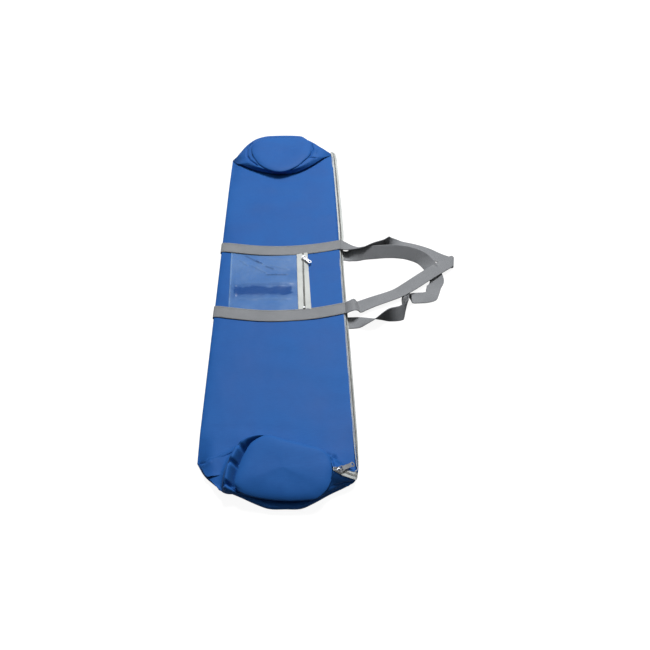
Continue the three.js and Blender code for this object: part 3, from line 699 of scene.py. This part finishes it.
far_rings = end_rings(
    far_end, FLAT_TO, FAR_FLAP, FAR_OUTLINE, FAR_WALL, FAR_LIFT, (4, 7),
    [far_skirt(0.3, 2.5), far_skirt(0.65, 2.5), far_skirt(0.92, 0.5), seam_of(far_end)], far_zip)
near_rings = end_rings(
    near_end, FLAT_FROM, NEAR_FLAP, NEAR_OUTLINE, NEAR_WALL, NEAR_LIFT, (3, 8),
    [near_skirt(0.4, 1), near_skirt(0.8, 2), near_ridge(3.4, 27, 18, 0), near_ridge(3.0, 26, 28, 0.3),
     near_ridge(2.6, 24, 37, 0.8), near_ridge(2.3, 20, 41, 1), near_ridge(2.0, 16, 38, 1),
     near_ridge(1.7, 12, 28, 0.8), near_ridge(1.5, 8, 15, 0.3), near_ridge(1.2, 3, 13, 0), seam_of(near_end)],
    near_zip)

MIDDLE_PITCH = 12.5
middle_spans = round((FLAT_TO - FLAT_FROM) / MIDDLE_PITCH)
middle_rings = [flat_ring(FLAT_FROM + MIDDLE_PITCH * k) for k in range(middle_spans + 1)]
control = near_rings[::-1] + middle_rings + far_rings


def refined(rings, steps, plain=range(0)):
    """Rows through the control rings: this many a span, but one for each of the plain spans."""
    padded = [rings[0], rings[0]] + rings + [rings[-1], rings[-1]]
    rows = []
    for k in range(len(padded) - 3):
        count = 1 if k in plain else steps
        for f in range(count):
            rows.append([beta(q, f / count) for q in zip(*padded[k:k + 4])])
    rows.append(list(rings[-1]))
    return rows


rows = refined(control, 7, range(len(near_rings) + 3, len(control) - len(far_rings)))

# Creases: start, end, half width and depth (negative stands up), in mm.
CREASES = [
    ((-140, -455), (-124, -457), 2.4, 2.2),
    ((-132, -462), (-114, -456), 4.0, -1.6),
    ((-86, 534), (-100, 505), 2.0, 5.0),
    ((-100, 508), (-99, 468), 2.0, 6.0),
    ((-99, 472), (-88, 443), 2.0, 6.0),
    ((-88, 446), (-66, 418), 2.0, 5.0),
    ((82, 530), (86, 494), 1.8, 5.5),
    ((86, 497), (77, 460), 1.8, 6.0),
    ((73, 457), (94, 456), 2.0, 5.5),
    ((96, 505), (92, 474), 3.5, -2.5),
    ((82, -447), (97, -463), 1.8, 6.0),
    ((97, -460), (106, -462), 3.0, 9.0),
    ((96, -464), (99, -492), 1.8, 5.0),
    ((104, -472), (126, -484), 5.0, 2.0),
    ((-44, -500), (20, -524), 16.0, -1.6),
    ((76, -462), (86, -478), 5.0, 1.6),
    ((-60, -520), (-88, -501), 2.2, 4.0),
    ((-40, -434), (-28, -424), 1.8, 1.5),
]


def beside_line(x, y, start, end):
    """How far along a line a point on the floor plan lies, as a share, and how far away."""
    run = Vector(end) - Vector(start)
    flat = Vector((x, y)) - Vector(start)
    share = flat.dot(run) / run.length_squared
    return share, (flat - run * clamp(share)).length


def crease_depth(p):
    depth = 0.0
    for start, end, half, deep in CREASES:
        share, away = beside_line(p.x, p.y, start, end)
        if away < 3 * half:
            ease = smooth(1 - abs(2 * clamp(share) - 1), -0.2, 0.4)
            depth += deep * math.exp(-(away / half) ** 2) * ease
    return depth


def ripple(p):
    """Slow waves of slack cloth, in mm."""
    slow = noise.noise(Vector((p.x * 0.012, p.y * 0.007, 3.1)))
    quick = noise.noise(Vector((p.x * 0.05, p.y * 0.03, 8.7)))
    waves = noise.noise(Vector((p.x * 0.009, p.y * 0.034, 1.9)))
    return 1.0 * slow + 0.35 * quick + 1.6 * waves


def dressed(rows):
    """Creases and ripples on the upper layer."""
    result = []
    for row in rows:
        out = []
        for k, p in enumerate(row):
            q = p.copy()
            upper = math.sin(angles[k]) > 0.05
            if upper or p.z > 14:
                ease = smooth(math.sin(angles[k]), 0.05, 0.35) if upper else 0.6
                q.z += ripple(p) * ease - crease_depth(p)
            out.append(q)
        result.append(out)
    return result


def make_panel():
    panel = sheet_from_rows("bag_panel", dressed(rows), fabric, flip=True, slot="bag_fabric")
    thicken(panel, CLOTH, OUTER_FACE)
    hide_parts("lower_panel", "upper_panel", "near_end_fold", "far_end_fold",
                "left_fold", "near_end_wall", "far_end_wall")


# ---------------------------------------------------------------- the discs

DISC_COLUMNS = 144
disc_turns = [math.tau * k / DISC_COLUMNS for k in range(DISC_COLUMNS)]
SHOULDER_RISE = 6
# A disc's cross-section from its middle to its rim, as (share of the way, share of the rise).
SHOULDER = [(0, 1), (0.35, 1.0), (0.6, 0.97), (0.8, 0.85), (0.92, 0.6), (1.0, 0.15)]


def make_disc(name, end, dome, replaced):
    """A round panel, slightly domed between its rims and rolled down to its seam."""
    rim = [end.rim_at(angle) for angle in disc_turns]
    centre = sum(rim, Vector()) / len(rim) + Vector((0, 0, dome))
    controls = []
    for share, height in SHOULDER:
        ring = [centre.lerp(p, share) for p in rim]
        for p, edge in zip(ring, rim):
            p.z = mix(edge.z, centre.z, 1 - share) + SHOULDER_RISE * height
        controls.append(ring)
    controls.append([p + end.outward(a) * 1.2 - Vector((0, 0, 1.2)) for p, a in zip(rim, disc_turns)])
    controls.append([end.seam_at(angle) for angle in disc_turns])
    rows = refined(controls, 4)
    for row in rows:
        for p in row:
            p.z += 0.8 * noise.noise(Vector((p.x * 0.03, p.y * 0.03, 5.5))) - 0.4 * crease_depth(p)
    disc = sheet_from_rows(name, rows, fabric, closed=True, flip=end.sign < 0, plan_uv=True,
                           slot="bag_fabric")
    thicken(disc, CLOTH, OUTER_FACE)
    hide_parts(replaced)


def make_binding(end_name, end):
    """The tape that binds the seam allowance inside: a narrow strip that hangs below the seam."""
    rows = []
    for inward, drop in ((1.0, 0.8), (2.2, 4.0), (3.2, 8.0), (4.2, 4.2), (3.0, 1.2)):
        shift = Vector((0, 0, drop))
        rows.append([end.seam_at(a) - end.outward(a) * inward - shift for a in disc_turns])
    strip = sheet_from_rows(end_name + "_binding_tape", rows, binding, closed=True, slot="seam_binding")
    thicken(strip, 0.5)
    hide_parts(end_name + "_seam_binding")


# ---------------------------------------------------------------- ribbons, stitches and coils

def ribbon(name, stations, half, finish, thickness, **options):
    """A flat strip through stations of centre, width direction and face normal."""
    across = [-1, -0.9, -0.6, -0.2, 0.2, 0.6, 0.9, 1]
    rows = [[p + w * half * share for share in across] for p, w, n in stations]
    strip = sheet_from_rows(name, rows, finish, **options)
    thicken(strip, thickness)
    return strip


# One stitch, as (share of its half length, half width, height) in mm.
STITCH = [(-1, 0.12, -0.1), (-0.5, 0.42, 0.3), (0.5, 0.42, 0.3), (1, 0.12, -0.1)]


def stitches(name, path, pitch, finish):
    """A row of short raised stitches along points with the face normal at each."""
    points, faces = [], []
    travelled, due = 0.0, pitch / 2
    for (p, n), (q, m) in zip(path, path[1:]):
        step = (q - p).length
        while step > 1e-6 and travelled + step >= due:
            centre = p.lerp(q, (due - travelled) / step) + n * 0.25
            t = (q - p).normalized()
            side = n.cross(t).normalized()
            base = len(points)
            half = pitch * 0.36
            for along, wide, high in STITCH:
                c = centre + t * half * along
                points.extend([c - side * wide, c + n * high, c + side * wide, c - n * 0.3])
            for ring in range(3):
                for k in range(4):
                    a, b = base + ring * 4 + k, base + ring * 4 + (k + 1) % 4
                    faces.append((a, a + 4, b + 4, b))
            faces.append((base, base + 1, base + 2, base + 3))
            faces.append((base + 15, base + 14, base + 13, base + 12))
            due += pitch
        travelled += step
    finish_piece(name, points, faces, [(0, 0)] * len(points), finish)


COIL_PITCH = 1.7
COIL_WIRE = 0.42                    # radius of the coil's thread
COIL_RADIUS = 0.95                  # of the helix
COIL_CENTRE = 1.05                  # from the line where the two coils meet to the helix's axis


def coil(name, stations, side, finish):
    """One side of a coil zip: a flattened helix whose loops meet the other side's."""
    centres = []
    travelled = 0.0
    for (p, w, n), (q, v, m) in zip(stations, stations[1:]):
        centres.append((travelled, p, w, n))
        travelled += (q - p).length
    centres.append((travelled, *stations[-1]))
    points, faces, uvs = [], [], []
    per_turn, sides = 8, 4
    total = int(travelled / COIL_PITCH * per_turn)
    at = 0
    line = []
    for k in range(total + 1):
        along = k / per_turn * COIL_PITCH
        while at < len(centres) - 2 and centres[at + 1][0] < along:
            at += 1
        (s0, p, w, n), (s1, q, v, m) = centres[at], centres[at + 1]
        share = clamp((along - s0) / max(s1 - s0, 1e-6))
        centre = p.lerp(q, share)
        width = w.lerp(v, share).normalized()
        normal = n.lerp(m, share).normalized()
        turn = math.tau * k / per_turn
        out = COIL_CENTRE + COIL_RADIUS * math.cos(turn)
        line.append(centre + width * side * out + normal * COIL_RADIUS * math.sin(turn))
    for k, c in enumerate(line):
        t = (line[min(k + 1, total)] - line[max(k - 1, 0)]).normalized()
        a = t.orthogonal().normalized()
        b = t.cross(a)
        for j in range(sides):
            turn = math.tau * j / sides
            points.append(c + (a * math.cos(turn) + b * math.sin(turn)) * COIL_WIRE)
            uvs.append((j, k))
    for k in range(total):
        for j in range(sides):
            a, b = k * sides + j, k * sides + (j + 1) % sides
            faces.append((a, b, b + sides, a + sides))
    return finish_piece(name, points, faces, uvs, finish, slot="zip_coil")


# ---------------------------------------------------------------- main zip

def shifted(stations, across):
    return [(p + w * across, w, n) for p, w, n in stations]


def make_main_zip():
    inner = 2.0
    half = (ZIP_HALF - inner) / 2
    for name, side in (("upper", 1), ("lower", -1)):
        middle = shifted(main_zip, side * (inner + half))
        strip = ribbon("zip_tape_" + name, middle, half, zip_tape, CLOTH, slot="zip_tape")
        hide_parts("main_zip_tape_" + name)
        teeth = coil("zip_coil_" + name, main_zip, side, zip_coil)
        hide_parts("main_zip_coil_" + name)


# ---------------------------------------------------------------- bands and handles

BOW = 20
# y of each band at the edges of the top, and at the zip edge underneath.
BAND_ENDS = {"far": (110, 88), "near": (-97, -128)}
TOP_STATIONS = 49
FLOOR_STATIONS = 33
STITCH_LINE = 13.2                  # from the middle of the band
STITCH_PITCH = 4.2


def band_y(name, x):
    """The upper part of a band bows towards the near end in the middle of the bag."""
    return BAND_ENDS[name][0] - BOW * (1 - (x / HALF_WIDTH) ** 2)


def band_stations(name):
    """Over the top from the zip side, round the left fold and back along the floor."""
    top_y, under_y = BAND_ENDS[name]
    run = []
    left = -HALF_WIDTH + 1.5
    for k in range(TOP_STATIONS):
        x = mix(HANDLE_LINE, left, k / (TOP_STATIONS - 1))
        inner = min(x, HALF_WIDTH)
        lift = 1.1 + 0.5 * ripple_at(inner, band_y(name, inner))
        run.append((Vector((x, band_y(name, inner), flat_top(inner) + lift)), Vector((0, 0, 1))))
    for turn in range(20, 180, 20):
        a = math.radians(turn)
        out = Vector((-math.sin(a), 0, math.cos(a)))
        centre = Vector((left, top_y, MID_HEIGHT))
        run.append((centre + Vector((out.x * 3.4, 0, out.z * 4.1)), out))
    for k in range(FLOOR_STATIONS):
        share = k / (FLOOR_STATIONS - 1)
        x = mix(left, HANDLE_LINE, share)
        y = mix(top_y, under_y, share)
        z = max(0.8, flat_bottom(min(x, HALF_WIDTH)) - 1.2)
        run.append((Vector((x, y, z)), Vector((0, 0, -1))))
    return [(p, Vector((0, 1, 0)), n) for p, n in run]


def ripple_at(x, y):
    return ripple(Vector((x, y, 0)))


# Each station is a centre and the direction across the strap towards the edge that starts on the
# far side. A station may cut across the strap at a slant, as at a fold.
FRONT_ROUTE = [
    (HANDLE_LINE - 4, 109, 16.6, 0, 1, 0), (158, 103, 16, 0, 0.98, -0.2),
    (175, 99, 15, 0.05, 0.87, -0.5), (195, 99, 15, 0.05, 0.73, -0.68),
    (222, 108, 15.5, 0.05, 0.53, -0.85), (244, 114, 15.5, -0.05, 0.38, -0.92),
    (254, 115, 15, -0.05, 0.1, -0.99), (262, 112, 13, -0.1, -0.5, -0.86),
    (271, 113, 10, -0.15, -0.85, -0.5), (290, 112, 7, -0.25, -0.96, 0),
    (320, 103, 6.5, -0.28, -0.95, 0.06), (350, 89, 5.5, -0.3, -0.95, 0.04),
    (376, 71, 4, -0.2, -0.98, 0), (396, 60, 2.8, -0.14, -0.99, 0),
    (405, 53, 2.2, -0.2, -0.98, 0), (409, 51, 5.5, -0.2, -0.98, 0),
    (405, 51, 9.6, -0.2, -0.98, 0), (393, 44, 10.4, 0.1, -0.99, 0),
    (371, 29, 10.4, 0.45, -0.89, 0), (333, 2, 9.5, 0.55, -0.83, 0),
    (292, -29, 8.6, 0.5, -0.86, 0.05), (264, -48, 8.4, 0.42, -0.89, 0.15),
    (238, -60, 8.4, 0.36, -0.92, 0.15), (208, -72, 8, 0.32, -0.94, 0.1),
    (187, -82, 8.2, 0.25, -0.97, 0.05), (176, -88, 8.8, 0.16, -0.99, 0),
    (172, -90, 11, 0.16, -0.99, 0), (166, -94, 22, 0.12, -0.99, 0),
    (160, -97, 26, 0.06, -1, 0), (151, -99, 23, 0, -1, 0), (HANDLE_LINE - 4, -97, 16.6, 0, -1, 0),
]

BACK_ROUTE = [
    (HANDLE_LINE - 4, 88, 0.8, 0, 1, 0), (158, 84, 1.4, 0, 1, 0),
    (168, 82, 5, -0.05, 0.92, 0.38), (182, 80, 10, 0, 0.8, 0.6),
    (200, 83, 11.5, 0, 0.76, 0.65), (226, 85, 12, 0.05, 0.75, 0.66),
    (253, 87, 12, 0.15, 0.74, 0.65), (280, 86, 11.5, 0.25, 0.7, 0.65),
    (304, 80, 11, 0.36, 0.62, 0.68), (332, 64, 10.5, 0.58, 0.48, 0.65),
    (350, 39, 7.5, 0.8, 0.4, 0.42), (359, 11, 4.5, 0.9, 0.38, 0.2),
    (359, -8, 2.6, 0.93, 0.35, 0.06), (351, -25, 1.8, 0.99, -0.1, 0),
    (345, -40, 1.6, 0.77, -0.64, 0), (338, -53, 1.6, 0.42, -0.9, 0),
    (326, -57, 1.6, 0.05, -1, 0), (310, -58, 1.6, 0.05, -1, 0),
    (294, -59, 1.8, 0.05, -0.98, 0.1), (284, -62, 5, 0.3, -0.75, 0.6),
    (278, -72, 12, 0.36, -0.15, 0.93), (276, -88, 14.5, 0.32, 0.05, 0.95),
    (274, -104, 13, 0.15, 0.55, 0.8), (262, -112, 11.5, 0, 0.7, 0.7),
    (240, -118, 12.5, 0, 0.42, 0.9), (221, -123, 13, 0, -0.2, 0.97),
    (204, -127, 10.5, 0, -0.66, 0.75), (189, -128, 6, 0, -0.87, 0.48),
    (172, -128, 2.4, 0, -1, 0.1), (158, -128, 1.1, 0, -1, 0),
    (HANDLE_LINE - 4, -128, 0.8, 0, -1, 0),
]
HANDLE_STEPS = 6
MOST_SLANT = 0.8                    # a slanted cut is at most 1 / 0.8 times the strap's width


def handle_stations(route):
    """Stations along a route; the direction across is longer where it cuts the strap at a slant."""
    count = (len(route) - 1) * HANDLE_STEPS
    raw = [spline(route, k / HANDLE_STEPS) for k in range(count + 1)]
    stations = []
    for k, (x, y, z, *across) in enumerate(raw):
        here, there = raw[max(k - 1, 0)], raw[min(k + 1, count)]
        t = (Vector(there[:3]) - Vector(here[:3])).normalized()
        if k in (0, count):
            t = Vector((1 if k == 0 else -1, 0, 0))
        w = Vector(across).normalized()
        n = w.cross(t)
        w = w / max(n.length, MOST_SLANT)
        n = n.normalized()
        half_height = (STRAP_WIDTH * abs(w.z) + STRAP_THICKNESS * abs(n.z)) / 2
        stations.append((Vector((x, y, max(z, half_height))), w, n))
    return stations


def make_band(name):
    stations = band_stations(name)
    strip = ribbon(name + "_band_webbing", stations, STRAP_WIDTH / 2, webbing, STRAP_THICKNESS,
                   slot="webbing")
    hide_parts(name + "_band")
    for side, edge in ((-1, "near"), (1, "far")):
        path = [(p + w * side * STITCH_LINE + n * STRAP_THICKNESS / 2, n)
                for p, w, n in stations[:TOP_STATIONS]]
        stitches(f"{name}_band_stitches_{edge}", path, STITCH_PITCH, grey_thread)


def make_handle(name, route):
    strip = ribbon(name + "_handle_webbing", handle_stations(route), STRAP_WIDTH / 2, webbing,
                   STRAP_THICKNESS, body=None, slot="webbing")
    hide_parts(name + "_handle")
    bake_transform(strip)


# ---------------------------------------------------------------- pocket

UNDER_BAND = 4                      # how far the pocket's pieces reach under the bands


def pocket_rows(x_far, x_near, lift, columns, count=60, dress=None):
    """A strip between the bands, as (left, right) at its far and near ends, in count rows."""
    rows = []
    for j in range(count):
        v = j / (count - 1)
        row = []
        for i in range(columns):
            u = i / (columns - 1)
            x = mix(mix(*x_near, u), mix(*x_far, u), v)
            far = band_y("far", x) - STRAP_WIDTH / 2 + UNDER_BAND
            near = band_y("near", x) + STRAP_WIDTH / 2 - UNDER_BAND
            y = mix(near, far, v)
            z = flat_top(x) + ripple_at(x, y) + lift
            row.append(Vector((x, y, z + (dress(x, y)[0] if dress else 0))))
        rows.append(row)
    return rows


# Folds of the vinyl, as start, end, half width and height in mm, and how dark their shade is.
VINYL_FOLDS = [
    ((-86, 78), (-48, 48), 1.5, 2.2, 0.9),
    ((-58, 58), (-42, 46), 1.7, 2.4, 1.0),
    ((-36, 38), (-14, 28), 1.4, 1.8, 0.9),
    ((-34, 11), (18, 10), 1.4, 2.2, 1.0),
    ((-72, 44), (-30, 14), 2.0, 1.2, 0.35),
    ((-98, 62), (-76, 40), 1.8, 1.4, 0.4),
    ((-30, 62), (24, 58), 2.2, 0.8, 0.2),
    ((-26, 40), (20, 26), 2.4, 0.9, 0.25),
    ((-104, -20), (28, -18), 4.5, 1.4, 0.12),
    ((-98, -64), (24, -66), 4.0, 1.3, 0.2),
    ((-104, 30), (-99, -70), 3.0, 0.8, 0.0),
]


def vinyl_fold(x, y):
    """Height of the folds and the shade in them."""
    height = shade = 0.0
    for start, end, half, rise, dark in VINYL_FOLDS:
        share, away = beside_line(x, y, start, end)
        ease = smooth(share, -0.06, 0.12) * (1 - smooth(share, 0.88, 1.06))
        here = math.exp(-(away / half) ** 2) * ease
        height += rise * here
        shade = max(shade, dark * here)
    return height, shade


def make_pocket():
    window = sheet_from_rows(
        "vinyl_window", pocket_rows((-115, 39), (-109, 42), 0.7, 140, 160, vinyl_fold), vinyl,
        slot="clear_window")
    fold = window.data.attributes.new("fold", "FLOAT", "POINT")
    for vertex, value in zip(window.data.vertices, fold.data):
        value.value = vinyl_fold(vertex.co.x / MM, vertex.co.y / MM)[1]
    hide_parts("pocket_window")
    hem = sheet_from_rows(
        "vinyl_hem", pocket_rows((-118, -114.5), (-112, -108.5), 0.9, 5), vinyl, slot="zip_tape")
    thicken(hem, 0.6)
    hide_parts("pocket_hem")
    for name, at_far, at_near in (("left", (37, 52), (40, 53.4)), ("right", (52.6, 63), (54, 68.5))):
        tape = sheet_from_rows(
            "pocket_tape_" + name, pocket_rows(at_far, at_near, 1.1, 9), zip_tape, slot="zip_tape")
        thicken(tape, CLOTH)
        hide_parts("pocket_zip_tape_" + name)
    # The left edge of a very narrow strip is the line on which the two coils meet.
    centre = pocket_rows((52, 52.01), (54, 54.01), 1.5, 2)
    stations = [(row[0], Vector((1, 0, 0)), Vector((0, 0, 1))) for row in centre[::-1]]
    for name, side in (("left", -1), ("right", 1)):
        teeth = coil("pocket_coil_" + name, stations, side, zip_coil)
        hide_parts("pocket_zip_coil_" + name)


# ---------------------------------------------------------------- carried-over nodes

def dress_cad_nodes():
    metal_nodes = [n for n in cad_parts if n.endswith(("slider", "pull")) or "_stop" in n]
    for name in metal_nodes:
        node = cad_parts[name]
        edge = node.modifiers.new("rounded edges", "BEVEL")
        edge.width = 0.35 * MM
        edge.segments = 3
        edge.limit_method = "ANGLE"
        for slot in node.material_slots:
            slot.material = metal


# ---------------------------------------------------------------- stage

def make_stage():
    bpy.ops.mesh.primitive_grid_add(x_subdivisions=4, y_subdivisions=4, size=40, location=(0, 0, -0.0004))
    floor = bpy.context.active_object
    floor.name = "floor"
    floor.data.materials.append(floor_material())
    floor.visible_diffuse = False
    floor.visible_glossy = False


def area_light(name, location, target, size, power):
    data = bpy.data.lights.new(name, "AREA")
    data.size = size
    data.energy = power
    light = bpy.data.objects.new(name, data)
    light.location = location
    light.rotation_euler = (Vector(target) - Vector(location)).to_track_quat("-Z", "Y").to_euler()
    bpy.context.scene.collection.objects.link(light)


def make_lights():
    """One soft light high behind the bag and a weak fill, over a floor that throws nothing back."""
    area_light("key", (0.9, 2.2, 4.3), (0.05, 0, 0), 1.5, 310)
    area_light("fill", (0.3, -0.8, 3.6), (0, 0, 0), 2.0, 8)
    world = bpy.data.worlds.new("studio")
    world.use_nodes = True
    tree = world.node_tree
    background = tree.nodes["Background"]
    direction = tree.nodes.new("ShaderNodeTexCoord")
    split = tree.nodes.new("ShaderNodeSeparateXYZ")
    sky = tree.nodes.new("ShaderNodeMapRange")
    sky.inputs["From Min"].default_value = -0.05
    sky.inputs["From Max"].default_value = 0.6
    sky.inputs["To Min"].default_value = 0.006
    sky.inputs["To Max"].default_value = 0.14
    rays = tree.nodes.new("ShaderNodeLightPath")
    glossy = tree.nodes.new("ShaderNodeMath")
    glossy.operation = "MULTIPLY_ADD"
    glossy.inputs[1].default_value = 0.5
    tree.links.new(direction.outputs["Generated"], split.inputs[0])
    tree.links.new(split.outputs["Z"], sky.inputs["Value"])
    tree.links.new(rays.outputs["Is Glossy Ray"], glossy.inputs[0])
    tree.links.new(sky.outputs[0], glossy.inputs[2])
    tree.links.new(glossy.outputs[0], background.inputs["Strength"])
    background.inputs["Color"].default_value = (1, 1, 1, 1)
    bpy.context.scene.world = world
    bpy.context.scene.view_settings.view_transform = "Standard"


def make_camera():
    data = bpy.data.cameras.new("camera")
    data.sensor_width = 36
    data.lens = 32.123
    data.clip_start = 0.02
    camera = bpy.data.objects.new("camera", data)
    camera.location = (0.05748, -0.94694, 0.95059)
    camera.rotation_euler = tuple(math.radians(a) for a in (40.661, -0.632, -2.055))
    bpy.context.scene.collection.objects.link(camera)
    bpy.context.scene.camera = camera


make_camera()
make_lights()
make_stage()
make_panel()
make_disc("near_disc", near_end, 3, "near_end_disc")
make_disc("far_disc", far_end, -3, "far_end_disc")
make_binding("near", near_end)
make_binding("far", far_end)
make_main_zip()
make_band("far")
make_band("near")
make_handle("front", FRONT_ROUTE)
make_handle("back", BACK_ROUTE)
make_pocket()
dress_cad_nodes()
